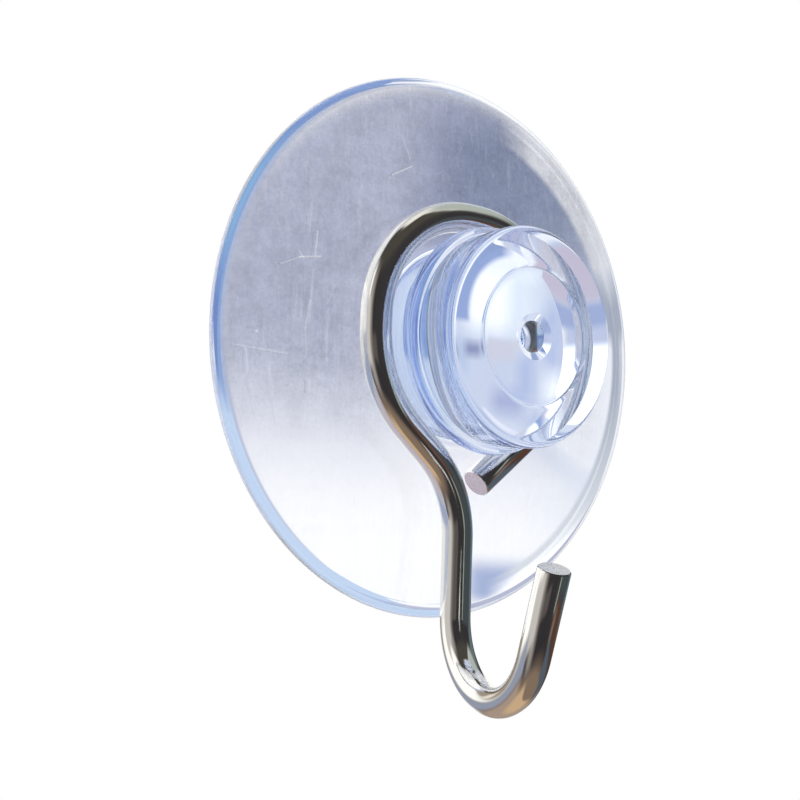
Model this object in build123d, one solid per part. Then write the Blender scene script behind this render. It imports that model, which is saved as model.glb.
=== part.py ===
from build123d import *
from math import cos, radians, sin, tan
import os

# Suction cup hook: a clear moulded suction cup with one bent wire hook round its neck.
# Millimetres, +Z up. The origin is the middle of the sealing rim, on the wall plane y = 0.
# The cup's axis is Y and its knob stands out from the wall towards -Y.

# Suction disc
rim_d = 45.0           # outside diameter of the sealing rim
rim_wall = 0.15        # height of the rim's straight side wall
rim_height = 0.85      # distance from the wall to the front of the rim's lip
rim_slope = 0.9        # how far the lip slopes in towards its front
rim_bulge = 0.12       # how far that slope bulges
rim_round = 0.5        # rounding of the lip's front
seal_width = 0.7       # width of the flat ring that seals on the wall
dish_depth = 1.1       # depth of the hollow behind the disc, at its middle
disc_front = 1.95      # distance from the wall to the disc's front, at the neck
disc_crown = 0.12      # how far the front bulges between the rim and the neck

# Neck and knob
neck_d = 15.7          # diameter of the neck that carries the hook
neck_round = 0.4       # rounding at both ends of the neck
flange_d = 18.3        # widest part of the knob, which keeps the loop on the neck
flange_slope = 1.2     # height of the sloping back of the flange
flange_edge = 0.25     # height of the flange's straight edge
shoulder = 0.95        # height of the rounded shoulder in front of the flange
shoulder_bulge = 0.12  # how far that shoulder bulges
barrel_d = 17.0        # diameter of the knob's barrel where it meets the shoulder
barrel_flare = 0.22    # how much wider the barrel's radius gets towards its front
knob_height = 11.05    # distance from the wall to the knob's flat front
knob_round = 0.55      # rounding of the knob's front edge

# Marks on the knob's front
ring_d = 10.7          # diameter of the fine ring line
ring_width = 0.16      # width of the ring line's groove
ring_depth = 0.1       # depth of the ring line's groove
mouth_d = 3.7          # diameter of the hole's countersunk mouth
mouth_depth = 0.3      # depth of the countersink
hole_d = 2.5           # diameter of the blind hole at its mouth
hole_draft = 0.15      # how much narrower the hole's radius gets towards its bottom
hole_depth = 2.6       # depth of the blind hole, countersink and rounded bottom included

# Wire hook
wire_d = 2.5           # diameter of the wire
cut_break = 0.1        # broken edge round each cut end
side_play = 0.3        # free space each side of the wire, between the disc and the flange
neck_play = 0.8        # how much larger the loop's inside radius is than the neck's
loop_side = 0.15       # how far the loop hangs to the right of the cup's axis
loop_rise = 0.35       # how far the loop sits above the cup's axis
loop_pinch = 0.9       # how much tighter the loop's upper left is bent than the rest of it
free_angle = 52.8      # slope of the free end, in degrees from straight down
free_length = 6.4      # straight length of the free end
leg_angle = 49.7       # slope of the long leg, in degrees from straight down
shank_side = 0.78      # how far the shank hangs to the left of the cup's axis
shank_bend_r = 8.6     # radius of the bend from the leg to the shank, at the wire's middle
shank_drop = 21.9      # distance from the cup's axis down to the start of the J
hook_in_d = 9.6        # inside diameter of the J
hook_turn = 11.7       # how far the J is turned to the left of straight forward, in degrees
tip_lean = 20.0        # how far the tip leans forward, in degrees from straight up
tip_length = 6.9       # straight length of the tip

rim_r = rim_d / 2
seal_r = rim_r - seal_width
neck_r = neck_d / 2
flange_r = flange_d / 2
barrel_r = barrel_d / 2
front_r = barrel_r + barrel_flare
mouth_r = mouth_d / 2
hole_r = hole_d / 2
hole_end_r = hole_r - hole_draft
ring_r = ring_d / 2

# The wire sets the width of the groove between the disc and the flange
wire_r = wire_d / 2
wire_y = disc_front + side_play + wire_r
flange_foot = wire_y + wire_r + side_play
flange_back = flange_foot + flange_slope
flange_front = flange_back + flange_edge
barrel_foot = flange_front + shoulder

loop_r = neck_r + neck_play + wire_r
corner_r = loop_r - loop_pinch
hook_r = hook_in_d / 2 + wire_r


def section_point(r, h):
    """A point of the cup's half section, r from its axis and h in front of the wall."""
    return (r, -h)


def bulged_arc(start, end, bulge):
    """An arc from start to end whose middle stands out by bulge, to the left of its way."""
    chord = Vector(*end) - Vector(*start)
    outward = Vector(-chord.Y, chord.X).normalized()
    middle = (Vector(*start) + Vector(*end)) / 2 + outward * bulge
    return ThreePointArc(start, middle, end)


def round_corner(sketch, r, h, radius):
    """Round the corner of the half section that is nearest to a point."""
    corner = sketch.vertices().sort_by_distance(section_point(r, h))[0]
    fillet(corner, radius)


def make_cup():
    """The whole suction cup as one revolved section: disc, neck and stepped knob."""
    dish_middle = section_point(0, dish_depth)
    dish_edge = section_point(seal_r, 0)
    rim_back = section_point(rim_r, 0)
    rim_side = section_point(rim_r, rim_wall)
    rim_front = section_point(rim_r - rim_slope, rim_height)
    neck_foot = section_point(neck_r, disc_front)
    neck_top = section_point(neck_r, flange_foot)
    flange_rear = section_point(flange_r, flange_back)
    flange_fore = section_point(flange_r, flange_front)
    shoulder_top = section_point(barrel_r, barrel_foot)
    knob_corner = section_point(front_r, knob_height)
    ring_out = section_point(ring_r + ring_width / 2, knob_height)
    ring_bottom = section_point(ring_r, knob_height - ring_depth)
    ring_in = section_point(ring_r - ring_width / 2, knob_height)
    mouth_edge = section_point(mouth_r, knob_height)
    hole_mouth = section_point(hole_r, knob_height - mouth_depth)
    bottom_h = knob_height - hole_depth
    hole_end = section_point(hole_end_r, bottom_h + hole_end_r)
    hole_bottom = section_point(0, bottom_h)
    hole_turn = radians(45)
    hole_curve_h = bottom_h + hole_end_r * (1 - cos(hole_turn))
    hole_curve = section_point(hole_end_r * sin(hole_turn), hole_curve_h)

    with BuildPart() as cup:
        with BuildSketch(Plane.XY) as half:
            with BuildLine():
                TangentArc(dish_middle, dish_edge, tangent=(1, 0))
                Line(dish_edge, rim_back)
                Line(rim_back, rim_side)
                bulged_arc(rim_side, rim_front, rim_bulge)
                bulged_arc(neck_foot, rim_front, -disc_crown)
                Line(neck_foot, neck_top)
                Line(neck_top, flange_rear)
                Line(flange_rear, flange_fore)
                bulged_arc(flange_fore, shoulder_top, shoulder_bulge)
                Line(shoulder_top, knob_corner)
                Polyline(knob_corner, ring_out, ring_bottom, ring_in, mouth_edge, hole_mouth, hole_end)
                ThreePointArc(hole_end, hole_curve, hole_bottom)
                Line(hole_bottom, dish_middle)
            make_face()
            round_corner(half, rim_r - rim_slope, rim_height, rim_round)
            round_corner(half, neck_r, disc_front, neck_round)
            round_corner(half, neck_r, flange_foot, neck_round)
            round_corner(half, front_r, knob_height, knob_round)
        revolve(axis=Axis.Y)
    return cup.part


def turned_arc(centre, radius, start, end):
    """An arc in the hook's plane, from one angle to another, anticlockwise from +X."""
    angles = (start, (start + end) / 2, end)
    points = [centre + Vector(cos(radians(a)), 0, sin(radians(a))) * radius for a in angles]
    return ThreePointArc(*points)


def make_hook():
    """The bent wire: free end, loop, leg, shank, J and tip, swept along its middle line."""
    # The loop is a circle whose upper left is squarer, with a short flat at each side of it
    loop_centre = Vector(loop_side, -wire_y, loop_rise)
    corner_centre = loop_centre + Vector(-loop_pinch, 0, loop_pinch)
    right_turn = turned_arc(loop_centre, loop_r, -free_angle, 90)
    corner_turn = turned_arc(corner_centre, corner_r, 90, 180)
    left_turn = turned_arc(loop_centre, loop_r, 180, 180 + leg_angle)
    free_way = Vector(-sin(radians(free_angle)), 0, -cos(radians(free_angle)))
    free_end = (right_turn @ 0) + free_way * free_length

    # The leg runs straight from the loop and bends down into the shank
    leg_way = Vector(sin(radians(leg_angle)), 0, -cos(radians(leg_angle)))
    leg_reach = (-shank_side - (left_turn @ 1).X) / leg_way.X
    corner = (left_turn @ 1) + leg_way * leg_reach
    bend_reach = shank_bend_r * tan(radians(leg_angle) / 2)
    leg_end = corner - leg_way * bend_reach
    shank_top = corner - Vector(0, 0, bend_reach)
    bend_centre = shank_top - Vector(shank_bend_r, 0, 0)
    bend = turned_arc(bend_centre, shank_bend_r, leg_angle, 0)

    # The J curls forward in its own upright plane, turned a little to the left
    forward = Vector(-sin(radians(hook_turn)), -cos(radians(hook_turn)), 0)
    down = Vector(0, 0, -1)
    shank_end = Vector(shank_top.X, shank_top.Y, -shank_drop)
    hook_centre = shank_end + forward * hook_r
    turns = [radians(part * (180 - tip_lean)) for part in (0, 0.5, 1)]
    curl_points = [hook_centre + (down * sin(a) - forward * cos(a)) * hook_r for a in turns]
    curl = ThreePointArc(*curl_points)
    tip_way = forward * sin(radians(tip_lean)) - down * cos(radians(tip_lean))
    tip_end = (curl @ 1) + tip_way * tip_length

    path = Wire([
        Line(free_end, right_turn @ 0).edge(),
        right_turn.edge(),
        Line(right_turn @ 1, corner_turn @ 0).edge(),
        corner_turn.edge(),
        Line(corner_turn @ 1, left_turn @ 0).edge(),
        left_turn.edge(),
        Line(left_turn @ 1, leg_end).edge(),
        bend.edge(),
        Line(shank_top, shank_end).edge(),
        curl.edge(),
        Line(curl @ 1, tip_end).edge(),
    ])
    start = Plane(origin=free_end, z_dir=-free_way)
    with BuildPart() as hook:
        with BuildSketch(start):
            Circle(wire_r)
        sweep(path=path)
        cut_faces = hook.faces().filter_by(GeomType.PLANE)
        chamfer(cut_faces.edges(), length=cut_break)
    print(f"wire length {path.length:.1f}, volume {hook.part.volume:.1f}")
    return hook.part


os.makedirs("parts", exist_ok=True)
export_step(make_cup(), "parts/suction_cup.step")
export_step(make_hook(), "parts/wire_hook.step")
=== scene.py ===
# %% [markdown]
# # A suction cup hook in Blender
#
# This lesson dresses a small household object: a clear soft suction cup with a bent,
# plated wire hook round its neck. The engineering model gives the sizes, the two
# bodies and the joint between them. Blender gives the clear plastic, the bright
# wire and the light that both of them need.
#
# Clear plastic and bright metal have almost no colour of their own. What we see is
# the room, bent or mirrored. So half of this lesson is about shapes that are smooth
# enough to bend light well, and the other half is about the room.

# %% Load the frame
import bmesh
import bpy
from math import cos, pi, radians, sin, tan
from mathutils import Matrix, Vector


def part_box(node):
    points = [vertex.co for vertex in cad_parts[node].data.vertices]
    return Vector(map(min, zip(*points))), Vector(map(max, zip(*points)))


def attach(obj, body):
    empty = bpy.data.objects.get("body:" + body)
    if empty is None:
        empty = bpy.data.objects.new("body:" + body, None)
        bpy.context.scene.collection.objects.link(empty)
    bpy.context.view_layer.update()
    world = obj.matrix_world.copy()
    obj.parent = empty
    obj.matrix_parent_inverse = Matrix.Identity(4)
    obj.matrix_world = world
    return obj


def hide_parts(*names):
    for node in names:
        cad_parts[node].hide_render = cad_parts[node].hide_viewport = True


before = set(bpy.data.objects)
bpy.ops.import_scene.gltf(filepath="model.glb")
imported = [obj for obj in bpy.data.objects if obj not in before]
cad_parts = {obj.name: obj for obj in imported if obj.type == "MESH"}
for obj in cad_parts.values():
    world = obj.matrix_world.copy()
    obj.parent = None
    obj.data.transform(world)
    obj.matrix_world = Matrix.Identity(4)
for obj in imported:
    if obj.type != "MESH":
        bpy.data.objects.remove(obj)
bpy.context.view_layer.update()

MM = 0.001
ACROSS, DEEP, UP = Vector((1, 0, 0)), Vector((0, 1, 0)), Vector((0, 0, 1))

# %% [markdown]
# ## The camera
#
# The object is small and the camera was close, so perspective matters: the near
# side of the rim is clearly larger than the far side. The camera stands about
# eleven centimetres from the rim, to the left and slightly below, and it is rolled
# by a couple of degrees. We set its place from an azimuth, an elevation and a
# distance, and then slide it a little in its own picture plane, which frames the
# object without any lens shift. Light crosses many walls of the clear cup, so it
# may bounce more often than usual.

# %% Place the camera
scene = bpy.context.scene
AZIMUTH = radians(-38.60)
ELEVATION = radians(-4.55)
ROLL = radians(1.84)
DISTANCE = 111.2 * MM
SLIDE_RIGHT = -3.54 * MM
SLIDE_UP = -4.46 * MM
LENS = 59.63
BOUNCES = 24

back = Vector((sin(AZIMUTH) * cos(ELEVATION), -cos(AZIMUTH) * cos(ELEVATION), sin(ELEVATION)))
level_right = Vector((cos(AZIMUTH), sin(AZIMUTH), 0))
level_up = back.cross(level_right)
view_right = level_right * cos(ROLL) + level_up * sin(ROLL)
view_up = level_up * cos(ROLL) - level_right * sin(ROLL)


def add_object(name, data):
    """A new object, linked to the scene."""
    made = bpy.data.objects.new(name, data)
    scene.collection.objects.link(made)
    return made


camera = add_object("camera", bpy.data.cameras.new("camera"))
scene.camera = camera
camera.data.lens = LENS
camera.data.sensor_width = 36
camera.data.clip_start = 5 * MM
camera.rotation_mode = "QUATERNION"
camera.rotation_quaternion = Matrix((view_right, view_up, back)).transposed().to_quaternion()
camera.location = back * DISTANCE + view_right * SLIDE_RIGHT + view_up * SLIDE_UP
scene.view_settings.view_transform = "Standard"
scene.cycles.max_bounces = BOUNCES
scene.cycles.glossy_bounces = BOUNCES
scene.cycles.transmission_bounces = BOUNCES
print("camera at", [round(v / MM, 1) for v in camera.location], "mm")

# %% [markdown]
# ## The cup's half section
#
# A suction cup is moulded in one shot, and everything on it is round: the dished
# disc, the neck, the flange that keeps the hook on, the barrel, the fine ring line
# and the blind hole. A round shape can be made from cylinders and booleans, but
# every cut leaves seams, and a seam in clear plastic shows as a dark scratch. We
# draw one half section instead and turn it round the axis.
#
# The section is a walk from the middle of the hollow back, out to the rim, in along
# the front, up the neck and knob, and back to the axis at the bottom of the hole.
# Each corner says how much it is rounded, because a sharp corner never catches a
# highlight and a moulded one always does.

# %% Name the cup's sizes
cup_low, cup_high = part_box("suction_cup")
rim_r = (cup_high.x - cup_low.x) / 2
knob_height = cup_high.y - cup_low.y
rim_wall = 0.15 * MM
rim_height = 0.85 * MM
rim_slope = 0.9 * MM
rim_bulge = 0.12 * MM
rim_round = 0.5 * MM
seal_width = 0.7 * MM
seal_round = 0.05 * MM
dish_depth = 1.1 * MM
disc_front = 1.95 * MM
disc_crown = 0.12 * MM
neck_r = 7.85 * MM
neck_round = 0.4 * MM
flange_foot = 5.05 * MM
flange_r = 9.15 * MM
flange_back = 6.25 * MM
flange_front = 6.5 * MM
flange_round = 0.08 * MM
shoulder_bow = 0.12 * MM
shoulder_round = 0.12 * MM
barrel_foot = 7.45 * MM
barrel_r = 8.5 * MM
barrel_front_r = 8.72 * MM
knob_round = 0.55 * MM
ring_r = 5.35 * MM
ring_width = 0.16 * MM
ring_depth = 0.1 * MM
ring_round = 0.02 * MM
mouth_r = 1.85 * MM
mouth_depth = 0.3 * MM
mouth_round = 0.1 * MM
hole_r = 1.25 * MM
hole_end_r = 1.1 * MM
hole_depth = 2.6 * MM
hole_round = 0.08 * MM
print(f"rim {2 * rim_r / MM:.1f} mm across, knob {knob_height / MM:.2f} mm high")


# %% [markdown]
# Three helpers write the section. One rounds a corner with a true arc that is tangent
# to both of its sides. One bows a straight side outwards, which is how the disc and
# the shoulder of the knob are shaped. One puts extra points on the knob's level front,
# because the smooth shading of a large flat face would otherwise lean towards the
# rounded corner beside it.

# %% Draw the half section
def corner_arc(before, corner, after, radius, steps):
    """Points of the arc that rounds a corner, tangent to both of its sides."""
    to_before = (before - corner).normalized()
    to_after = (after - corner).normalized()
    half_angle = to_before.angle(to_after) / 2
    reach = radius / tan(half_angle)
    middle = corner + (to_before + to_after).normalized() * (radius / sin(half_angle))
    start = corner + to_before * reach - middle
    end = corner + to_after * reach - middle
    return [middle + start.slerp(end, i / steps) * radius for i in range(steps + 1)]


def bowed_side(start, end, bow, steps):
    """Points between start and end on an arc whose middle stands out by bow."""
    along = end - start
    out = Vector((along.y, -along.x, 0)).normalized()
    shares = [i / steps for i in range(1, steps)]
    return [start + along * t + out * bow * 4 * t * (1 - t) for t in shares]


def section(r, h):
    """A point of the section: r from the axis and h in front of the wall."""
    return Vector((r, h, 0))


def level_points(start_r, end_r, h, chosen, steps):
    """The chosen points of those that cut a level side into equal steps."""
    return [section(start_r + (end_r - start_r) * i / steps, h) for i in chosen]


def cup_section():
    """The whole walk from the back's middle to the bottom of the hole."""
    dish_r = rim_r - seal_width
    dish = [section(dish_r * i / 24, dish_depth * (1 - (i / 24) ** 2)) for i in range(25)]
    rim_back = section(rim_r, 0)
    rim_side = section(rim_r, rim_wall)
    rim_front = section(rim_r - rim_slope, rim_height)
    neck_foot = section(neck_r, disc_front)
    neck_top = section(neck_r, flange_foot)
    flange_rear = section(flange_r, flange_back)
    flange_fore = section(flange_r, flange_front)
    shoulder = section(barrel_r, barrel_foot)
    knob_corner = section(barrel_front_r, knob_height)
    ring_out = section(ring_r + ring_width / 2, knob_height)
    ring_bottom = section(ring_r, knob_height - ring_depth)
    ring_in = section(ring_r - ring_width / 2, knob_height)
    mouth = section(mouth_r, knob_height)
    hole_top = section(hole_r, knob_height - mouth_depth)
    bottom = knob_height - hole_depth
    hole_end = section(hole_end_r, bottom + hole_end_r)

    walk = dish
    walk += corner_arc(dish[-1], rim_back, rim_side, seal_round, 4)
    walk += [rim_side]
    walk += bowed_side(rim_side, rim_front, rim_bulge, 12)[:-3]
    walk += corner_arc(walk[-1], rim_front, neck_foot, rim_round, 8)
    walk += bowed_side(rim_front, neck_foot, disc_crown, 40)[1:-1]
    walk += corner_arc(rim_front, neck_foot, neck_top, neck_round, 8)
    walk += corner_arc(neck_foot, neck_top, flange_rear, neck_round, 6)
    walk += corner_arc(neck_top, flange_rear, flange_fore, flange_round, 4)
    walk += corner_arc(flange_rear, flange_fore, shoulder, flange_round, 4)
    walk += bowed_side(flange_fore, shoulder, shoulder_bow, 12)[1:-1]
    walk += corner_arc(flange_fore, shoulder, knob_corner, shoulder_round, 5)
    walk += corner_arc(shoulder, knob_corner, ring_out, knob_round, 12)
    walk += level_points(barrel_front_r, ring_r, knob_height, range(2, 8), 8)
    walk += corner_arc(knob_corner, ring_out, ring_bottom, ring_round, 2)
    walk += [ring_bottom]
    walk += corner_arc(ring_bottom, ring_in, mouth, ring_round, 2)
    walk += level_points(ring_r, mouth_r, knob_height, range(1, 6), 6)
    walk += corner_arc(ring_in, mouth, hole_top, mouth_round, 5)
    walk += corner_arc(mouth, hole_top, hole_end, hole_round, 5)
    angles = [pi / 2 * i / 10 for i in range(11)]
    walk += [section(hole_end_r * cos(a), bottom + hole_end_r * (1 - sin(a))) for a in angles]
    return walk


half_section = cup_section()
print(len(half_section), "points in the half section")


# %% [markdown]
# ## Turning the section into a cup
#
# The Spin tool or the Screw modifier would turn the section too. Here a Geometry
# Nodes tree does it by rule: it makes a flat grid with one column for each step
# round the axis and one row for each point of the section, and then moves every
# grid point to where its column's angle and its row's section point say. The seam
# and the two poles then lie on top of themselves, and Merge by Distance closes them.

# %% Helpers for node trees
def new_tree(name, *inputs):
    """A Geometry Nodes tree with named inputs, each given as (name, socket type, value)."""
    tree = bpy.data.node_groups.new(name, "GeometryNodeTree")
    tree.interface.new_socket("Geometry", in_out="INPUT", socket_type="NodeSocketGeometry")
    for label, kind, value in inputs:
        socket = tree.interface.new_socket(label, in_out="INPUT", socket_type=kind)
        if value is not None:
            socket.default_value = value
    tree.interface.new_socket("Geometry", in_out="OUTPUT", socket_type="NodeSocketGeometry")
    return tree, tree.nodes.new("NodeGroupInput"), tree.nodes.new("NodeGroupOutput")


def add_node(tree, kind, inputs=None, **settings):
    """A node with its settings. Each input is linked to a socket or set to a value."""
    node = tree.nodes.new(kind)
    for label, value in settings.items():
        setattr(node, label, value)
    for label, value in (inputs or {}).items():
        socket = node.inputs[label]
        if isinstance(value, bpy.types.NodeSocket):
            tree.links.new(value, socket)
        else:
            socket.default_value = (*value, 1) if socket.type == "RGBA" else value
    return node


def maths(tree, operation, first, second=0.0):
    """A Math node. Each operand is a socket or a number."""
    inputs = {0: first, 1: second}
    return add_node(tree, "ShaderNodeMath", inputs, operation=operation).outputs[0]


def product(tree, first, *others):
    """All the values multiplied together."""
    for other in others:
        first = maths(tree, "MULTIPLY", first, other)
    return first


def split_vector(tree, vector):
    """The X, Y and Z sockets of a vector."""
    return tuple(add_node(tree, "ShaderNodeSeparateXYZ", {0: vector}).outputs)


def join_vector(tree, **axes):
    """A vector from the sockets of its axes. An axis that isn't given is 0."""
    return add_node(tree, "ShaderNodeCombineXYZ", axes).outputs[0]


def end_tree(tree, result, geometry, *paints):
    """Makes the geometry real and paints it. Each paint is what Set Material takes."""
    whole = add_node(tree, "GeometryNodeRealizeInstances", {0: geometry})
    for paint in paints:
        inputs = {"Geometry": whole.outputs[0], **paint}
        whole = add_node(tree, "GeometryNodeSetMaterial", inputs)
    tree.links.new(whole.outputs[0], result.inputs["Geometry"])


def finish_piece(holder, name, tree, values):
    """Runs a tree on an object, keeps the result as a plain mesh and drops the modifier."""
    modifier = holder.modifiers.new(name, "NODES")
    modifier.node_group = tree
    for item in tree.interface.items_tree:
        if item.in_out == "INPUT" and item.name in values:
            modifier[item.identifier] = values[item.name]
    holder.update_tag()
    bpy.context.view_layer.update()
    evaluated = holder.evaluated_get(bpy.context.evaluated_depsgraph_get())
    mesh = bpy.data.meshes.new_from_object(evaluated)
    holder.modifiers.remove(modifier)
    mesh.name = name
    piece = add_object(name, mesh)
    bpy.data.objects.remove(holder)
    tidy = bmesh.new()
    tidy.from_mesh(mesh)
    bmesh.ops.recalc_face_normals(tidy, faces=tidy.faces)
    if tidy.calc_volume(signed=True) < 0:
        bmesh.ops.reverse_faces(tidy, faces=tidy.faces)
    tidy.to_mesh(mesh)
    open_edges = sum(not edge.is_manifold for edge in tidy.edges)
    volume = tidy.calc_volume() / MM ** 3
    print(f"{name}: {len(mesh.polygons)} faces, {open_edges} open edges, {volume:.0f} mm3")
    tidy.free()
    return piece


def mesh_object(name, points, edges, faces, material=None):
    """An object with a mesh of points, edges and faces."""
    mesh = bpy.data.meshes.new(name)
    mesh.from_pydata(points, edges, faces)
    if material:
        mesh.materials.append(material)
    return add_object(name, mesh)


def line_object(name, points):
    """Points joined by edges, for a tree to read."""
    return mesh_object(name, points, [(i, i + 1) for i in range(len(points) - 1)], [])


# %% Build the turning tree
CUP_STEPS = 256
SAME_PLACE = 0.001 * MM


def turning_tree(material):
    """A tree that turns the mesh line it is given round the cup's axis."""
    tree, given, result = new_tree(
        "turned section",
        ("Steps Around", "NodeSocketInt", CUP_STEPS),
        ("Section Points", "NodeSocketInt", 2),
        ("Material", "NodeSocketMaterial", material),
    )
    steps, count = given.outputs["Steps Around"], given.outputs["Section Points"]
    size = {"Vertices X": maths(tree, "ADD", steps, 1), "Vertices Y": count}
    grid = add_node(tree, "GeometryNodeMeshGrid", size).outputs["Mesh"]

    index = add_node(tree, "GeometryNodeInputIndex").outputs[0]
    column = maths(tree, "FLOOR", maths(tree, "DIVIDE", maths(tree, "ADD", index, 0.5), count))
    row = maths(tree, "SUBTRACT", index, product(tree, column, count))
    angle = product(tree, maths(tree, "DIVIDE", column, steps), 2 * pi)

    position = add_node(tree, "GeometryNodeInputPosition").outputs[0]
    inputs = {"Geometry": given.outputs["Geometry"], "Value": position, "Index": row}
    sample = add_node(tree, "GeometryNodeSampleIndex", inputs, data_type="FLOAT_VECTOR")
    radius, height, _ = split_vector(tree, sample.outputs["Value"])
    x = product(tree, radius, maths(tree, "COSINE", angle))
    z = product(tree, radius, maths(tree, "SINE", angle))
    place = join_vector(tree, X=x, Y=product(tree, height, -1), Z=z)

    moved = add_node(tree, "GeometryNodeSetPosition", {"Geometry": grid, "Position": place})
    inputs = {"Geometry": moved.outputs[0], "Distance": SAME_PLACE}
    merged = add_node(tree, "GeometryNodeMergeByDistance", inputs).outputs[0]
    smooth = add_node(tree, "GeometryNodeSetShadeSmooth", {"Geometry": merged}).outputs[0]
    end_tree(tree, result, smooth, {"Material": given.outputs["Material"]})
    return tree


clear_plastic = bpy.data.materials.new("clear_plastic")
cup = finish_piece(
    line_object("half_section", half_section),
    "cup_moulding",
    turning_tree(clear_plastic),
    {"Steps Around": CUP_STEPS, "Section Points": len(half_section)},
)

# %% [markdown]
# ## The wire's path
#
# The hook is one straight wire that was bent round pins: a free end, a loop that
# goes round the neck, a leg, a bend into the upright shank, the J that curls
# forward, and a straight tip. The middle line of such a wire is nothing but
# straight runs and arcs, each tangent to the next, so that is how we write it.

# %% Write the wire's middle line
wire_r = 1.25 * MM
wire_y = -3.5 * MM
loop_middle = Vector((0.15 * MM, wire_y, 0.35 * MM))
loop_r = 9.9 * MM
loop_pinch = 0.9 * MM
free_angle = radians(52.8)
free_length = 6.4 * MM
leg_angle = radians(49.7)
shank_x = -0.78 * MM
shank_bend_r = 8.6 * MM
shank_end_z = -21.9 * MM
hook_r = 6.05 * MM
hook_turn = radians(11.7)
tip_lean = radians(20.0)
tip_length = 6.9 * MM
cut_break = 0.1 * MM
ARC_STEP = radians(2)


def arc(middle, first_axis, second_axis, radius, start, end):
    """Points of an arc in the plane of two axes, without its first point."""
    steps = max(2, round(abs(end - start) / ARC_STEP))
    angles = [start + (end - start) * i / steps for i in range(1, steps + 1)]
    return [middle + (first_axis * cos(a) + second_axis * sin(a)) * radius for a in angles]


def wire_path():
    """The middle line from the free end to the tip."""
    across, up, down = ACROSS, UP, -UP
    loop_start = loop_middle + (across * cos(-free_angle) + up * sin(-free_angle)) * loop_r
    free_way = Vector((-sin(free_angle), 0, -cos(free_angle)))
    path = [loop_start + free_way * free_length, loop_start]
    path += arc(loop_middle, across, up, loop_r, -free_angle, pi / 2)
    corner_middle = loop_middle + (up - across) * loop_pinch
    corner_r = loop_r - loop_pinch
    path.append(corner_middle + up * corner_r)
    path += arc(corner_middle, across, up, corner_r, pi / 2, pi)
    path.append(loop_middle - across * loop_r)
    path += arc(loop_middle, across, up, loop_r, pi, pi + leg_angle)

    leg_way = Vector((sin(leg_angle), 0, -cos(leg_angle)))
    corner = path[-1] + leg_way * ((shank_x - path[-1].x) / leg_way.x)
    reach = shank_bend_r * tan(leg_angle / 2)
    bend_middle = corner + down * reach - across * shank_bend_r
    path.append(corner - leg_way * reach)
    path += arc(bend_middle, across, up, shank_bend_r, leg_angle, 0)

    forward = Vector((-sin(hook_turn), -cos(hook_turn), 0))
    shank_end = Vector((shank_x, wire_y, shank_end_z))
    path.append(shank_end)
    path += arc(shank_end + forward * hook_r, -forward, down, hook_r, 0, pi - tip_lean)
    path.append(path[-1] + (forward * sin(tip_lean) + up * cos(tip_lean)) * tip_length)
    return path


wire_line = wire_path()
wire_length = sum((b - a).length for a, b in zip(wire_line, wire_line[1:]))
print(f"wire {wire_length / MM:.1f} mm long in {len(wire_line)} points")


# %% [markdown]
# ## Sweeping the wire
#
# A bevelled curve would do for a plain wire. A Geometry Nodes sweep does more: it
# can store, on every point of the surface, how far along the wire it lies and in
# which direction round it. The drawing die left fine lines along the wire, and with
# those two values the finish follows every bend, as the real lines do.
#
# The two ends are cut flat and their edges are broken. Only their faces have more
# than four corners, so that is how the tree finds them and gives them their own
# finish.

# %% Build the sweeping tree
WIRE_SIDES = 64
SIDE_CORNERS = 4


def captured(tree, kind, name, geometry, value):
    """Keeps a value on every point. It gives the geometry and the kept value."""
    node = add_node(tree, "GeometryNodeCaptureAttribute", domain="POINT")
    node.capture_items.new(kind, name)
    tree.links.new(geometry, node.inputs["Geometry"])
    tree.links.new(value, node.inputs[1])
    return node.outputs["Geometry"], node.outputs[1]


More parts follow.
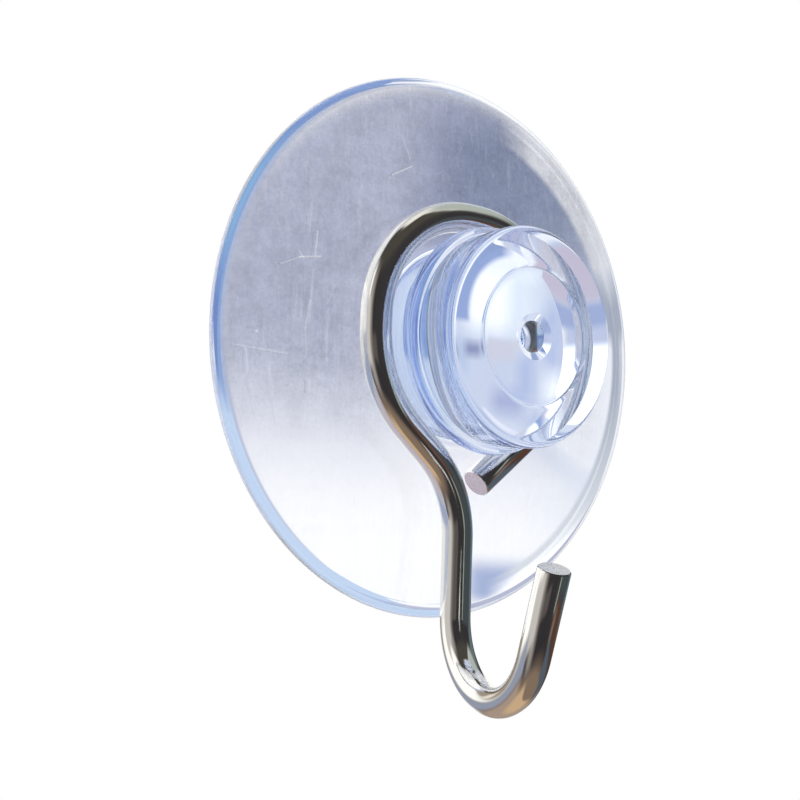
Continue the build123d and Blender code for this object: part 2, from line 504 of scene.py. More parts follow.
def wire_tree(bright, cut):
    """A tree that sweeps a round wire along the mesh line it is given."""
    tree, given, result = new_tree(
        "swept wire",
        ("Wire Radius", "NodeSocketFloat", wire_r),
        ("Sides", "NodeSocketInt", WIRE_SIDES),
        ("Cut Edge", "NodeSocketFloat", cut_break),
        ("Wire Material", "NodeSocketMaterial", bright),
        ("Cut Material", "NodeSocketMaterial", cut),
    )
    radius = given.outputs["Wire Radius"]

    line = add_node(tree, "GeometryNodeMeshToCurve", {"Mesh": given.outputs["Geometry"]})
    length = add_node(tree, "GeometryNodeSplineParameter").outputs["Length"]
    from_end = maths(tree, "MINIMUM", length, maths(tree, "SUBTRACT", wire_length, length))
    inset = maths(tree, "MAXIMUM", maths(tree, "SUBTRACT", given.outputs["Cut Edge"], from_end), 0)
    share = maths(tree, "DIVIDE", maths(tree, "SUBTRACT", radius, inset), radius)
    curve, kept_length = captured(tree, "FLOAT", "Length", line.outputs[0], length)

    inputs = {"Resolution": given.outputs["Sides"], "Radius": radius}
    ring = add_node(tree, "GeometryNodeCurvePrimitiveCircle", inputs).outputs["Curve"]
    position = add_node(tree, "GeometryNodeInputPosition").outputs[0]
    profile, side = captured(tree, "VECTOR", "Side", ring, position)
    inputs = {"Curve": curve, "Profile Curve": profile, "Scale": share, "Fill Caps": True}
    sweep = add_node(tree, "GeometryNodeCurveToMesh", inputs)

    side_x, side_y, _ = split_vector(tree, side)
    place = join_vector(tree, X=side_x, Y=side_y, Z=kept_length)
    inputs = {"Geometry": sweep.outputs[0], "Name": "wire_place", "Value": place}
    settings = {"data_type": "FLOAT_VECTOR", "domain": "POINT"}
    store = add_node(tree, "GeometryNodeStoreNamedAttribute", inputs, **settings)

    corners = add_node(tree, "GeometryNodeInputMeshFaceNeighbors").outputs["Vertex Count"]
    settings = {"data_type": "INT", "operation": "GREATER_THAN"}
    inputs = {2: corners, 3: SIDE_CORNERS}
    capped = add_node(tree, "FunctionNodeCompare", inputs, **settings).outputs[0]
    bent = add_node(tree, "FunctionNodeBooleanMath", {0: capped}, operation="NOT").outputs[0]
    inputs = {"Geometry": store.outputs[0], "Shade Smooth": bent}
    smooth = add_node(tree, "GeometryNodeSetShadeSmooth", inputs).outputs[0]
    wire_paint = {"Material": given.outputs["Wire Material"]}
    cut_paint = {"Material": given.outputs["Cut Material"], "Selection": capped}
    end_tree(tree, result, smooth, wire_paint, cut_paint)
    return tree


def with_cut_points(points, distance):
    """The line with one more point close to each end, where the broken edge starts."""
    first = points[0] + (points[1] - points[0]).normalized() * distance
    last = points[-1] + (points[-2] - points[-1]).normalized() * distance
    return [points[0], first, *points[1:-1], last, points[-1]]


plated_wire = bpy.data.materials.new("plated_wire")
cut_wire = bpy.data.materials.new("cut_wire")
hook = finish_piece(
    line_object("wire_line", with_cut_points(wire_line, cut_break)),
    "bent_wire",
    wire_tree(plated_wire, cut_wire),
    {"Wire Radius": wire_r, "Sides": WIRE_SIDES, "Cut Edge": cut_break},
)


# %% [markdown]
# ## Materials
#
# Every finish and light below is a small tree of shader nodes. A few helpers keep the
# trees short. One gives a point's place in millimetres, the natural unit for scratches.

# %% Helpers for materials
def shader_tree(material):
    """An emptied node tree with its output node."""
    material.use_nodes = True
    tree = material.node_tree
    tree.nodes.clear()
    return tree, tree.nodes.new("ShaderNodeOutputMaterial")


def noise(tree, place, scale, detail, roughness):
    """A Noise Texture on a coordinate. The scale is in repeats for each unit of it."""
    inputs = {"Vector": place, "Scale": scale, "Detail": detail, "Roughness": roughness}
    return add_node(tree, "ShaderNodeTexNoise", inputs).outputs["Fac"]


def spread(tree, value, low, high, to_low=0.0, to_high=1.0):
    """A Map Range node, clamped."""
    limits = {"From Min": low, "From Max": high, "To Min": to_low, "To Max": to_high}
    return add_node(tree, "ShaderNodeMapRange", {"Value": value, **limits}).outputs["Result"]


def blend_colour(tree, share, first, second):
    """A mix of two colours. Each is a socket or three numbers."""
    inputs = {"Factor": share, "A": first, "B": second}
    return add_node(tree, "ShaderNodeMix", inputs, data_type="RGBA").outputs["Result"]


def blend_shader(tree, share, first, second):
    """The first shader where the share is 0 and the second where it is 1."""
    inputs = {0: share, 1: first, 2: second}
    return add_node(tree, "ShaderNodeMixShader", inputs).outputs[0]


def vector_maths(tree, operation, *values):
    """A Vector Math node. Each operand is a socket or a vector."""
    inputs = dict(enumerate(values))
    node = add_node(tree, "ShaderNodeVectorMath", inputs, operation=operation)
    gives_number = operation in ("DOT_PRODUCT", "LENGTH", "DISTANCE")
    return node.outputs["Value" if gives_number else "Vector"]


def place_in_mm(tree):
    """The point's place on the object in millimetres, and its X, Y and Z."""
    place = tree.nodes.new("ShaderNodeTexCoord").outputs["Object"]
    in_mm = vector_maths(tree, "MULTIPLY", place, (1 / MM, 1 / MM, 1 / MM))
    return in_mm, split_vector(tree, in_mm)


# %% [markdown]
# ## Fine marks on the disc
#
# A soft disc that is wiped and pressed on tiles gets fine hairlines and specks. The
# clearest are placed one by one, each as a short line. One node group serves them
# all: it fades the mark to nothing beside its line.

# %% Write the marks
# Each mark: start (x, z), end (x, z), half width, strength, in mm
DISC_MARKS = [
    ((-7.06, 13.14), (-5.07, 14.21), 0.10, 0.51),
    ((-6.04, 16.62), (-5.21, 14.78), 0.09, 0.21),
    ((-17.22, 4.54), (-15.66, 5.23), 0.10, 0.30),
    ((-15.66, 5.23), (-13.80, 5.52), 0.10, 0.51),
    ((-14.09, 7.47), (-14.28, 5.58), 0.10, 0.45),
    ((-15.67, 5.67), (-15.35, 5.24), 0.10, 0.37),
    ((-14.63, 9.60), (-14.84, 7.25), 0.12, 0.21),
    ((-14.41, 4.47), (-14.64, 0.45), 0.12, 0.18),
    ((-12.36, 3.52), (-13.07, 1.90), 0.11, 0.21),
    ((-19.06, -0.81), (-19.05, -0.80), 0.17, 0.60),
    ((-15.97, -4.57), (-15.96, -4.57), 0.15, 0.50),
    ((-20.71, -1.98), (-16.34, -2.23), 0.10, 0.24),
    ((-19.86, -2.16), (-19.62, -3.92), 0.13, 0.30),
    ((-14.64, 1.99), (-14.98, -0.20), 0.11, 0.27),
    ((-14.98, -0.20), (-14.77, -2.11), 0.11, 0.21),
    ((-13.00, 1.53), (-13.00, -2.60), 0.12, 0.21),
    ((-14.41, -4.12), (-14.36, -4.97), 0.12, 0.45),
    ((-17.95, -3.45), (-16.73, -7.79), 0.13, 0.16),
    ((-19.42, -4.42), (-18.69, -6.86), 0.13, 0.18),
]


def new_group(name, vectors, numbers, answer):
    """A node group that takes vectors and numbers and gives one number."""
    group = bpy.data.node_groups.new(name, "ShaderNodeTree")
    for label in vectors:
        group.interface.new_socket(label, in_out="INPUT", socket_type="NodeSocketVector")
    for label in numbers:
        group.interface.new_socket(label, in_out="INPUT", socket_type="NodeSocketFloat")
    group.interface.new_socket(answer, in_out="OUTPUT", socket_type="NodeSocketFloat")
    return group, group.nodes.new("NodeGroupInput"), group.nodes.new("NodeGroupOutput")


def mark_group():
    """A node group that gives its strength on a straight mark and 0 away from it."""
    vectors, numbers = ("Place", "Start", "Reach"), ("Half Width", "Strength")
    group, given, result = new_group("fine mark", vectors, numbers, "Mark")
    reach = given.outputs["Reach"]
    from_start = vector_maths(group, "SUBTRACT", given.outputs["Place"], given.outputs["Start"])
    covered = vector_maths(group, "DOT_PRODUCT", from_start, reach)
    along = maths(group, "DIVIDE", covered, vector_maths(group, "DOT_PRODUCT", reach, reach))
    along = maths(group, "MINIMUM", maths(group, "MAXIMUM", along, 0), 1)
    inputs = {0: reach, "Scale": along}
    scaled = add_node(group, "ShaderNodeVectorMath", inputs, operation="SCALE").outputs[0]
    away = vector_maths(group, "LENGTH", vector_maths(group, "SUBTRACT", from_start, scaled))
    away = maths(group, "DIVIDE", away, given.outputs["Half Width"])
    near = maths(group, "MAXIMUM", maths(group, "SUBTRACT", 1, away), 0)
    group.links.new(product(group, near, given.outputs["Strength"]), result.inputs["Mark"])
    return group


fine_mark = mark_group()
print(len(DISC_MARKS), "marks on the disc")

# %% [markdown]
# ## Wear and painted shade on the disc
#
# The real disc is also mottled, slightly brushed, and cloudy where its edge is
# rubbed. Two values carry this: the grain darkens the tint of the plastic, in
# patches and streaks, and the haze mixes in some matt white. Both stay on the disc,
# off the knob and the rim's lip. Both also fade out towards the far right and over
# most of the lower half, which is painted shade: the grain darkens the upper left
# of the disc and leaves the far right and the lower part light.

# %% Write the wear
EVEN, UPRIGHT, SIDEWAYS = (1, 1, 1), (1, 1, 0.07), (0.12, 1, 1)
# Each layer: stretch, scale for each mm, low and high of the noise, strength
GRAIN_LAYERS = [
    (EVEN, 0.35, 0.40, 0.60, 0.28),
    (EVEN, 1.1, 0.42, 0.60, 0.22),
    (EVEN, 3.4, 0.42, 0.60, 0.26),
    (UPRIGHT, 1.4, 0.46, 0.60, 0.14),
    (SIDEWAYS, 1.2, 0.46, 0.60, 0.12),
]
HAZE_LAYERS = [
    (EVEN, 4.0, 0.56, 0.70, 0.10),
    (UPRIGHT, 2.4, 0.585, 0.66, 0.08),
    (UPRIGHT, 4.5, 0.60, 0.66, 0.08),
]


def wear_layers(tree, places, layers):
    """The sum of clamped noises. The places are the stretched coordinates."""
    total = None
    for stretch, scale, low, high, strength in layers:
        value = noise(tree, places[stretch], scale, 3, 0.6)
        layer = spread(tree, value, low, high, 0.0, strength)
        total = layer if total is None else maths(tree, "ADD", total, layer)
    return total


def disc_wear_and_shade(tree):
    """How cloudy and how grainy the disc is at each place, and where shade is painted on it."""
    in_mm, (x, y, z) = place_in_mm(tree)
    flat = join_vector(tree, X=x, Z=z)
    from_axis = vector_maths(tree, "LENGTH", flat)

    stretches = (EVEN, UPRIGHT, SIDEWAYS)
    places = {way: vector_maths(tree, "MULTIPLY", in_mm, way) for way in stretches}
    grain = wear_layers(tree, places, GRAIN_LAYERS)
    haze = wear_layers(tree, places, HAZE_LAYERS)
    # Beside the rim the disc is rubbed, and more so at the top
    rubbed = maths(tree, "POWER", spread(tree, from_axis, 20.2, 21.5), 2)
    rubbed = product(tree, rubbed, spread(tree, z, 10.0, 18.0, 0.08, 0.45))
    haze = maths(tree, "ADD", haze, rubbed)
    for (start_x, start_z), (end_x, end_z), half_width, strength in DISC_MARKS:
        inputs = {
            "Place": flat,
            "Start": (start_x, 0, start_z),
            "Reach": (end_x - start_x, 0, end_z - start_z),
            "Half Width": half_width,
            "Strength": strength,
        }
        mark = add_node(tree, "ShaderNodeGroup", inputs, node_tree=fine_mark)
        haze = maths(tree, "ADD", haze, mark.outputs["Mark"])

    # Where the wear stays. The last two limits are painted shade: they keep the grain's darker
    # tint on the upper left of the disc, so the far right and the lower part stay light.
    wear_and_shade_mask = (
        spread(tree, y, -2.4, -2.1),  # behind the knob
        spread(tree, from_axis, 8.2, 9.4),  # beside the neck
        spread(tree, from_axis, 21.9, 21.5),  # inside the rim's lip
        spread(tree, x, 19.5, 16.0),  # left of the far right
        spread(tree, z, -9.0, -3.0, 0.15, 1.0),  # mostly above the lower part
    )
    # The very edge is matt, where the two halves of the mould met
    edge = spread(tree, from_axis, 22.36, 22.45, 0.0, 0.5)
    return maths(tree, "ADD", product(tree, haze, *wear_and_shade_mask), edge), product(tree, grain, *wear_and_shade_mask)


print(len(GRAIN_LAYERS), "layers of grain and", len(HAZE_LAYERS), "of haze")

# %% [markdown]
# ## Clear plastic
#
# Soft plastic bends light about as much as glass does and is faintly blue where it
# is thick. A tint on the surface would colour the thin disc as much as the knob, so
# the blue comes from a Volume Absorption, which counts the millimetres that the
# light crosses. The surface is a fully transmitting Principled shader, with some
# matt white mixed in where the haze says so.

# %% Make the clear plastic
CLEAN_TINT = (0.97, 0.98, 1.0)
GRAIN_AND_SHADE_TINT = (0.62, 0.63, 0.66)
CLOUD_TINT = (0.95, 0.95, 0.98)
DEPTH_TINT = (0.55, 0.68, 0.95)


def make_clear_plastic(material):
    """Clear bending plastic with wear, painted shade on the disc and a blue depth."""
    tree, output = shader_tree(material)
    haze, grain = disc_wear_and_shade(tree)
    # The grain's darker tint is partly grain and partly painted shade on the upper left of the
    # disc.
    tint = blend_colour(tree, grain, CLEAN_TINT, GRAIN_AND_SHADE_TINT)
    inputs = {"Base Color": tint, "Transmission Weight": 1.0, "IOR": 1.5, "Roughness": 0.04}
    clear = add_node(tree, "ShaderNodeBsdfPrincipled", inputs).outputs[0]
    cloud = add_node(tree, "ShaderNodeBsdfDiffuse", {"Color": CLOUD_TINT}).outputs[0]
    inputs = {"Color": DEPTH_TINT, "Density": 30}
    depth = add_node(tree, "ShaderNodeVolumeAbsorption", inputs).outputs[0]
    tree.links.new(blend_shader(tree, haze, clear, cloud), output.inputs["Surface"])
    tree.links.new(depth, output.inputs["Volume"])
    print("clear plastic:", len(tree.nodes), "nodes")


make_clear_plastic(clear_plastic)

# %% [markdown]
# ## Plated wire
#
# The wire was drawn through a die, bent, and plated. The plating is bright and a
# little warm, and it keeps the fine lines that the die left. They are a noise that is
# stretched along the wire on the stored coordinate, so they follow every bend, and
# they change the roughness and a very shallow bump. The two cut faces are rougher.

# %% Make the plated wire
LINE_STRETCH = 0.03     # the noise's scale along the wire, as a share of that round it
LINE_SCALE = 3.0        # lines for each mm round the wire
BUMP_DEPTH = 0.02 * MM


def make_plated_wire(material, tint, roughness, strength):
    """Bright metal with fine lines along the wire."""
    tree, output = shader_tree(material)
    place = add_node(tree, "ShaderNodeAttribute", attribute_name="wire_place").outputs["Vector"]
    stretch = (1 / MM, 1 / MM, LINE_STRETCH / MM)
    lines = noise(tree, vector_maths(tree, "MULTIPLY", place, stretch), LINE_SCALE, 4, 0.65)
    inputs = {"Height": lines, "Strength": strength, "Distance": BUMP_DEPTH}
    bump = add_node(tree, "ShaderNodeBump", inputs).outputs[0]
    polish = spread(tree, lines, 0.35, 0.65, roughness * 0.7, roughness * 1.5)
    inputs = {"Base Color": tint, "Metallic": 1.0, "Roughness": polish, "Normal": bump}
    metal = add_node(tree, "ShaderNodeBsdfPrincipled", inputs).outputs[0]
    tree.links.new(metal, output.inputs["Surface"])
    print("wire finish:", len(tree.nodes), "nodes, roughness", roughness)


make_plated_wire(plated_wire, (0.82, 0.80, 0.76), 0.09, 0.25)
make_plated_wire(cut_wire, (0.84, 0.80, 0.80), 0.24, 0.2)

# %% [markdown]
# ## The room
#
# Clear plastic and bright wire show the room and hardly anything else, so the room
# is modelled as carefully as the hook. Instead of a picture of a real room, the world
# is a set of soft-edged areas, each placed by a compass bearing and a height above
# the horizon, as a photographer sets windows, screens and dark cards round a small
# object. Bearing 0 is behind the wall, 90 is to the right, 180 is in front of the
# hook and -90 is to the left.
#
# There are two lists. The wire mirrors the first one: a bright window on the left,
# a warm table below and a dark room in front. What shows through the plastic is the
# second one. It is paler, because the real plastic is slightly cloudy and scatters
# light into its dark parts.

# %% Write the room's areas
# Each area: name, colour, bearing, half width, low, high, softness, in degrees
MIRRORED_BASE = (0.036, 0.034, 0.038)
MIRRORED_AREAS = [
    ("dark ceiling", (0.07, 0.065, 0.055), 0, 200, 40, 120, 12),
    ("bright ceiling behind", (1.0, 0.98, 0.93), 48, 88, 44, 120, 6),
    ("bright zenith", (1.0, 0.98, 0.93), 0, 200, 80, 120, 3),
    ("low table", (0.26, 0.19, 0.14), 0, 200, -120, -44, 12),
    ("warm table behind", (0.45, 0.35, 0.29), 5, 75, -120, -30, 12),
    ("cream table", (0.68, 0.48, 0.30), -8, 98, -120, -59, 9),
    ("red wood on the right", (0.11, 0.050, 0.032), 120, 45, -25, -8, 5),
    ("blue grey in front", (0.10, 0.13, 0.17), 115, 35, -50, -27, 5),
    ("narrow glow", (0.20, 0.17, 0.155), 150, 7, -30, -14, 5),
    ("blue shade on the right", (0.14, 0.19, 0.22), 92, 18, -10, 34, 8),
    ("slate shade", (0.062, 0.078, 0.088), 130, 30, -8, 8, 5),
    ("brown wall on the left", (0.115, 0.10, 0.095), -129, 16, -14, 2, 3),
    ("grey wall on the left", (0.38, 0.35, 0.33), -97, 14, -40, 40, 12),
    ("window on the left", (1.3, 1.3, 1.28), -50, 35, -8, 44, 8),
    ("pale curtain on the left", (0.66, 0.64, 0.63), -77, 22, -20, 20, 5),
    ("warm wall beside the window", (0.40, 0.34, 0.29), -6, 9, -14, 34, 4),
    ("low lamp", (1.0, 0.92, 0.82), -8, 7, 5, 13, 3),
    ("blue sill on the left", (0.34, 0.38, 0.50), -28, 40, -30, -8, 5),
    ("white wall behind", (1.1, 1.1, 1.1), 34, 24, -30, 60, 5),
    ("pale wall on the right", (0.50, 0.56, 0.53), 95, 38, 36, 76, 9),
    ("narrow window", (0.38, 0.45, 0.40), 166, 3, -16, 3, 1.5),
]
SEEN_BASE = (0.72, 0.79, 0.88)
SEEN_AREAS = [
    ("high ceiling", (0.95, 0.97, 1.0), 0, 200, 50, 120, 16),
    ("low table", (0.64, 0.62, 0.73), 0, 200, -120, -46, 10),
    ("mauve table behind", (0.70, 0.62, 0.70), -24, 46, -56, -30, 7),
    ("window on the left", (1.4, 1.4, 1.4), -35, 66, 2, 62, 6),
    ("pale sill on the left", (0.66, 0.70, 0.85), -32, 45, -12, 3, 4),
    ("bright sill behind", (1.08, 1.08, 1.05), -11, 27, -11, 4, 5),
    ("blue sill on the left", (0.44, 0.51, 0.73), -42, 36, -29, -11, 4),
    ("white wall behind", (1.12, 1.12, 1.12), 32, 20, -40, 20, 4),
    ("lavender wall behind", (0.52, 0.545, 0.69), 39, 14, 3.5, 24, 5),
    ("light above the wall", (0.85, 0.90, 0.97), 38, 26, 19, 60, 1.5),
    ("violet light above", (0.72, 0.71, 0.84), 20, 18, 28, 41, 3),
    ("light beside the wall", (1.05, 1.05, 1.05), 22, 8, -10, 30, 1),
    ("slate wall behind", (0.27, 0.31, 0.455), 43.2, 3.4, 10.6, 16.6, 1.8),
    ("violet patch", (0.42, 0.50, 0.74), 43, 1.3, -3.6, -1.9, 0.5),
    ("pale blue on the right", (0.56, 0.70, 0.88), 80, 32.5, -18, 22, 4),
    ("blue light on the right", (0.25, 0.38, 0.66), 92, 44.5, -15, 11, 2),
    ("deep blue on the right", (0.15, 0.26, 0.60), 89, 35, 6, 9.6, 1.5),
    ("blue edge of the wall", (0.29, 0.43, 0.73), 49.5, 4.5, 2.5, 9.5, 1.2),
    ("pale edge of the wall", (0.47, 0.56, 0.79), 43.6, 1.4, 5, 9.5, 1.0),
    ("blue below the disc", (0.33, 0.40, 0.64), 51, 8.5, -15, -4.5, 1.5),
]
print(len(MIRRORED_AREAS), "areas are mirrored and", len(SEEN_AREAS), "show through")

# %% [markdown]
# Each area is one call of the same small node group. It turns the direction of the
# ray by the area's bearing, so that the angle never jumps inside the area, and it
# compares the bearing and the height with the area's own, with soft edges.

# %% Build the node group of one area
def area_group():
    """A node group that gives 1 inside a soft-edged area of the room and 0 outside."""
    limits = ("Bearing", "Half Width", "Low", "High", "Softness")
    group, given, result = new_group("room area", ("Direction",), limits, "Inside")
    bearing, half_width, low, high, softness = (given.outputs[label] for label in limits)
    inputs = {"Vector": given.outputs["Direction"], "Angle": maths(group, "RADIANS", bearing)}
    turn = add_node(group, "ShaderNodeVectorRotate", inputs, rotation_type="Z_AXIS")
    x, y, z = split_vector(group, turn.outputs[0])
    side = maths(group, "DEGREES", maths(group, "ARCTAN2", x, y))
    height = maths(group, "DEGREES", maths(group, "ARCSINE", z))

    def step(value, other):
        """0 where the value is well below the other and 1 where it is well above."""
        inputs = {
            "Value": maths(group, "SUBTRACT", value, other),
            "From Min": maths(group, "MULTIPLY", softness, -1),
            "From Max": softness,
        }
        soft = add_node(group, "ShaderNodeMapRange", inputs, interpolation_type="SMOOTHSTEP")
        return soft.outputs["Result"]

    across = step(half_width, maths(group, "ABSOLUTE", side))
    inside = product(group, step(height, low), step(high, height), across)
    group.links.new(inside, result.inputs["Inside"])
    return group


room_area = area_group()
print("room area group:", len(room_area.nodes), "nodes")

# %% [markdown]
# The world then picks by the kind of ray. The camera meets plain white. Rays that
# light a matt surface meet an even soft white, so that colours come out about as
# they are written. Mirrored rays meet the first room, and rays that come out of the
# plastic meet the second.

# %% Build the world
SOFT_LIGHT = 0.75


def room_colour(tree, direction, base, areas):
    """A chain of mixes that lays the areas over the base colour, one after another."""
    colour = base
    for name, tint, *limits in areas:
        inputs = dict(enumerate((direction, *limits)))
        area = add_node(tree, "ShaderNodeGroup", inputs, node_tree=room_area, label=name)
        colour = blend_colour(tree, area.outputs["Inside"], colour, tint)
    return colour


def make_world():
    """A world that shows each kind of ray its own room."""
    world = bpy.data.worlds.new("room")
    scene.world = world
    world.use_nodes = True
    tree = world.node_tree
    tree.nodes.clear()
    direction = add_node(tree, "ShaderNodeTexCoord").outputs["Generated"]
    ray = add_node(tree, "ShaderNodeLightPath")

    def background(colour, strength=1.0):
        """Light of one colour, which is a socket or three numbers."""
        inputs = {"Color": colour, "Strength": strength}
        return add_node(tree, "ShaderNodeBackground", inputs).outputs[0]

    shown = background((1, 1, 1), SOFT_LIGHT)
    kinds = (
        ("Is Glossy Ray", room_colour(tree, direction, MIRRORED_BASE, MIRRORED_AREAS)),
        ("Is Transmission Ray", room_colour(tree, direction, SEEN_BASE, SEEN_AREAS)),
        ("Is Camera Ray", (1, 1, 1)),
    )
    for kind, colour in kinds:
        shown = blend_shader(tree, ray.outputs[kind], shown, background(colour))
    add_node(tree, "ShaderNodeOutputWorld", {"Surface": shown})
    print("world:", len(tree.nodes), "nodes")


make_world()

# %% [markdown]
# ## Cards behind the hook
#
# A world only knows the direction of a ray and not where it starts. The knob, the
# right of the disc and the rim stand close to what is behind them, so they need
# things that are really there: three round glowing cards just behind the wall, like
# the cards a photographer props up behind a glass. Only rays that come through the
# plastic meet them, and their edges fade out. The first stands behind the knob, and
# its soft patches and arcs are painted light and shade for the bands seen inside the
# knob. The second is behind the disc's right side, and the third follows the disc's far edge.

# %% Write the cards' patches
CARD_FADE = 2.5  # how far in from its edge a card fades, in mm
# Each patch: colour, middle x and z, half width, half height, softness, in mm
KNOB_CARD = (0.75, 0.80, 0.91)
KNOB_PATCHES = [
    ((0.98, 1.04, 1.07), 18.0, 8.2, 4.6, 4.4, 2.6),
    ((0.60, 0.67, 0.88), 24.4, 4.2, 1.2, 3.4, 1.2),
    ((1.30, 1.30, 1.26), 14.6, 7.4, 3.0, 3.4, 1.3),
    ((1.20, 1.22, 1.20), 18.5, 12.6, 3.5, 2.2, 1.4),
    ((0.80, 0.78, 0.83), 16.6, 2.1, 2.2, 1.1, 0.35),
    ((0.62, 0.71, 0.87), 11.0, 0.8, 1.0, 1.8, 0.7),
    ((0.35, 0.38, 0.56), 12.7, 1.8, 1.1, 0.7, 0.5),
    ((0.51, 0.55, 0.76), 17.8, -3.2, 2.2, 1.2, 1.0),
    ((0.58, 0.65, 0.86), 20.3, -0.5, 1.2, 2.2, 1.0),
    ((1.20, 1.22, 1.20), 25.0, -2.4, 1.8, 2.6, 1.3),
]
# Each arc: colour, middle x and z, inside radius, softness, lowest z, highest z, highest x, in mm
KNOB_ARCS = [
    ((0.37, 0.47, 0.74), 18.4, 5.6, 6.4, 0.3, 4.6, 20.0, 17.4),
    ((1.25, 1.25, 1.25), 22.0, 6.0, 12.6, 0.2, -20.0, -4.0, 20.0),
]
DISC_CARD = (0.98, 0.99, 1.03)
DISC_PATCHES = [((0.43, 0.47, 0.57), 36.0, 11.0, 4.0, 5.5, 1.0)]


def glow_behind(tree, output, share, colour):
    """Ends a tree: the colour glows where the share is 1, and the rest is open."""
    glow = add_node(tree, "ShaderNodeEmission", {"Color": colour}).outputs[0]
    clear = add_node(tree, "ShaderNodeBsdfTransparent").outputs[0]
    tree.links.new(blend_shader(tree, share, clear, glow), output.inputs["Surface"])


def card_material(name, base, patches, arcs, middle, radius):
    """A glowing sheet with soft patches, soft arcs and a soft edge."""
    material = bpy.data.materials.new(name)
    tree, output = shader_tree(material)
    here, (x, _, z) = place_in_mm(tree)

    def inside(value, middle, half, softness):
        """1 where a value is within half of the middle, with soft ends."""
        away = maths(tree, "ABSOLUTE", maths(tree, "SUBTRACT", value, middle))
        return spread(tree, away, half + softness, half - softness)

    colour = base
    for tint, middle_x, middle_z, half_x, half_z, soft in patches:
        across, up = inside(x, middle_x, half_x, soft), inside(z, middle_z, half_z, soft)
        colour = blend_colour(tree, product(tree, across, up), colour, tint)
    for tint, middle_x, middle_z, inner, soft, low_z, high_z, high_x in arcs:
        away = vector_maths(tree, "DISTANCE", here, (middle_x, middle[1], middle_z))
        share = product(
            tree,
            spread(tree, away, inner - soft, inner + soft),
            spread(tree, z, low_z - soft, low_z + soft),
            spread(tree, z, high_z + soft, high_z - soft),
            spread(tree, x, high_x + 1, high_x - 1),
        )
        colour = blend_colour(tree, share, colour, tint)
    away = vector_maths(tree, "DISTANCE", here, middle)
    glow_behind(tree, output, spread(tree, away, radius, radius - CARD_FADE), colour)
    return material


# %% [markdown]
# The rim's card shows a fine grey line at the disc's far edge, a paler band inside it
# at the top, and white beyond it. All three are distances from one point.

# %% Write the rim's card
RIM_MIDDLE = (13.0, 15.1, 2.4)
LINE_GREY, BAND_GREY = (0.40, 0.44, 0.52), (0.80, 0.81, 0.85)
LOWER_GREY, BEYOND_WHITE = (0.80, 0.83, 0.87), (1.35, 1.35, 1.35)


def rim_card_material(name):
    """Light that follows the far edge of the disc, as it is seen through the disc."""
    material = bpy.data.materials.new(name)
    tree, output = shader_tree(material)
    here, (x, _, z) = place_in_mm(tree)
    away = vector_maths(tree, "DISTANCE", here, RIM_MIDDLE)
    upper = spread(tree, z, 9, 13)
    colour = blend_colour(tree, spread(tree, z, 0, -16), LINE_GREY, LOWER_GREY)
    colour = blend_colour(tree, upper, colour, BAND_GREY)
    colour = blend_colour(tree, spread(tree, away, 24.2, 24.5), colour, BEYOND_WHITE)

    line = spread(tree, away, 23.4, 23.8)
    band = product(tree, upper, spread(tree, away, 22.3, 22.9))
    solid = maths(tree, "MAXIMUM", line, band)
    right, outer = spread(tree, x, 19, 24), spread(tree, away, 28.8, 27.0)
    glow_behind(tree, output, product(tree, solid, right, outer), colour)
    return material


def flat_disc(name, middle, radius, first_axis, second_axis, material):
    """A flat round sheet, for the cards and the floor."""
    angles = [2 * pi * i / 96 for i in range(96)]
    ring = [middle + (first_axis * cos(a) + second_axis * sin(a)) * radius for a in angles]
    return mesh_object(name, ring, [], [range(96)], material)


def hide_from(thing, *rays):
    """Keeps some kinds of ray from meeting an object."""
    for ray in rays:
        setattr(thing, "visible_" + ray, False)


def only_through_plastic(card):
    """Lets only rays that come out of the plastic meet a card."""
    hide_from(card, "camera", "diffuse", "glossy", "shadow")


# %% Place the cards
# Each card: name, middle, radius in mm, colour, patches, arcs
CARDS = [
    ("knob_card", (18.4, 15.0, 4.0), 11.0, KNOB_CARD, KNOB_PATCHES, KNOB_ARCS),
    ("disc_card", (35.5, 15.2, 1.0), 12.0, DISC_CARD, DISC_PATCHES, []),
]
RIM_RADIUS = 29.0


def place_card(name, middle, radius, glowing_material):
    """Stands a round glowing card up behind the wall."""
    only_through_plastic(flat_disc(name, Vector(middle) * MM, radius * MM, ACROSS, UP, glowing_material))
    print(name, "placed,", radius, "mm in radius")


for name, middle, radius, *looks in CARDS:
    place_card(name, middle, radius, card_material(name, *looks, middle, radius))
place_card("rim_card", RIM_MIDDLE, RIM_RADIUS, rim_card_material("rim_card"))

# %% [markdown]
# ## Low screens behind the rim
#
# The near side of the rim is a thin lens that looks along the wall. It needs blue
# light right behind it, so two low glowing walls stand just inside the rim. They
# glow deep blue at the top and pale at the bottom, and the inner one is there only
# below the middle.

# %% Place the screens
SCREEN_BLUE = (0.18, 0.28, 0.62)
# Each tint, upwards or downwards: where it starts and is full, in mm, and its colour
SCREEN_TINTS = [
    (1.0, 7.0, (0.27, 0.47, 0.76)),
    (11.0, 16.0, (0.22, 0.34, 0.66)),
    (-2.0, -7.0, (0.60, 0.74, 0.95)),
]
SCREEN_FOOT, SCREEN_HEIGHT = 0.02, 0.6
GAP_FADE = 3
# Each screen: name, radius, bottom and top of its open gap, in mm
SCREENS = [("outer_screen", 21.72, -3.0, -3.0), ("inner_screen", 21.35, -4.0, 30.0)]


def screen_material(name, gap_low, gap_high):
    """Blue glow, deep at its top and pale at its bottom, with an open gap between."""
    material = bpy.data.materials.new(name)
    tree, output = shader_tree(material)
    _, (_, _, z) = place_in_mm(tree)
    colour = SCREEN_BLUE
    for low, high, tint in SCREEN_TINTS:
        colour = blend_colour(tree, spread(tree, z, low, high), colour, tint)
    above = spread(tree, z, gap_high, gap_high + GAP_FADE)
    below = spread(tree, z, gap_low, gap_low - GAP_FADE)
    glow_behind(tree, output, maths(tree, "ADD", above, below), colour)
    return material


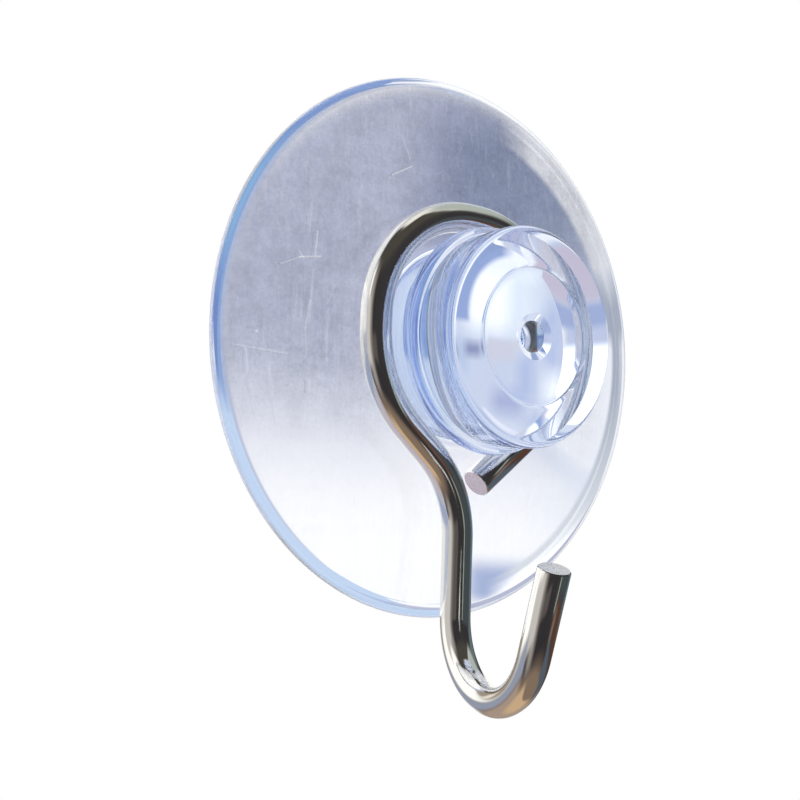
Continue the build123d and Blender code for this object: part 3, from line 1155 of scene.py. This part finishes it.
def rim_screen(name, radius, material):
    """A low glowing wall that stands just behind the near half of the rim."""
    angles = [radians(80 + 2 * i) for i in range(101)]
    heights = (SCREEN_FOOT * MM, SCREEN_HEIGHT * MM)
    points = [Vector((cos(a) * radius, y, sin(a) * radius)) for y in heights for a in angles]
    faces = [(i, i + 1, i + 102, i + 101) for i in range(100)]
    only_through_plastic(mesh_object(name, points, [], faces, material))


for name, radius, gap_low, gap_high in SCREENS:
    rim_screen(name, radius * MM, screen_material(name, gap_low, gap_high))
    print(name, "placed,", radius, "mm in radius")

# %% [markdown]
# ## The floor and the lamp
#
# The hook hangs on its wall, so the floor is well below it. It is pale and plain. One
# soft lamp from the left adds a little direction to the even light of the room. It
# is 30 cm across and half a metre away, so its light has no hard edge anywhere.

# %% Lay the floor and hang the lamp
FLOOR_PLACE = Vector((0, 0, -120)) * MM
FLOOR_RADIUS = 300 * MM
FLOOR_TINT = (0.94, 0.94, 0.94)
LAMP_PLACE = Vector((-350, -250, 300)) * MM
LAMP_SIZE = 300 * MM
LAMP_POWER = 0.9


def floor_material():
    """Plain matt paint."""
    material = bpy.data.materials.new("pale_floor")
    tree, output = shader_tree(material)
    paint = add_node(tree, "ShaderNodeBsdfDiffuse", {"Color": FLOOR_TINT})
    tree.links.new(paint.outputs[0], output.inputs["Surface"])
    return material


floor = flat_disc("floor", FLOOR_PLACE, FLOOR_RADIUS, ACROSS, DEEP, floor_material())
hide_from(floor, "glossy", "transmission")

lamp = add_object("soft_lamp", bpy.data.lights.new("soft_lamp", "AREA"))
lamp.data.shape = "DISK"
lamp.data.size = LAMP_SIZE
lamp.data.energy = LAMP_POWER
lamp.location = LAMP_PLACE
lamp.rotation_euler = (-LAMP_PLACE).to_track_quat("-Z", "Y").to_euler()
hide_from(lamp, "camera", "glossy", "transmission")
print("floor", round(-FLOOR_PLACE.z / MM), "mm below, lamp", LAMP_POWER, "W")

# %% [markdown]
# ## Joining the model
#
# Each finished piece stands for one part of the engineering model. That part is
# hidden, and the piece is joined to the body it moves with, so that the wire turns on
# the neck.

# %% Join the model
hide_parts("suction_cup")
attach(cup, "cup")
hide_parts("wire_hook")
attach(hook, "hook")
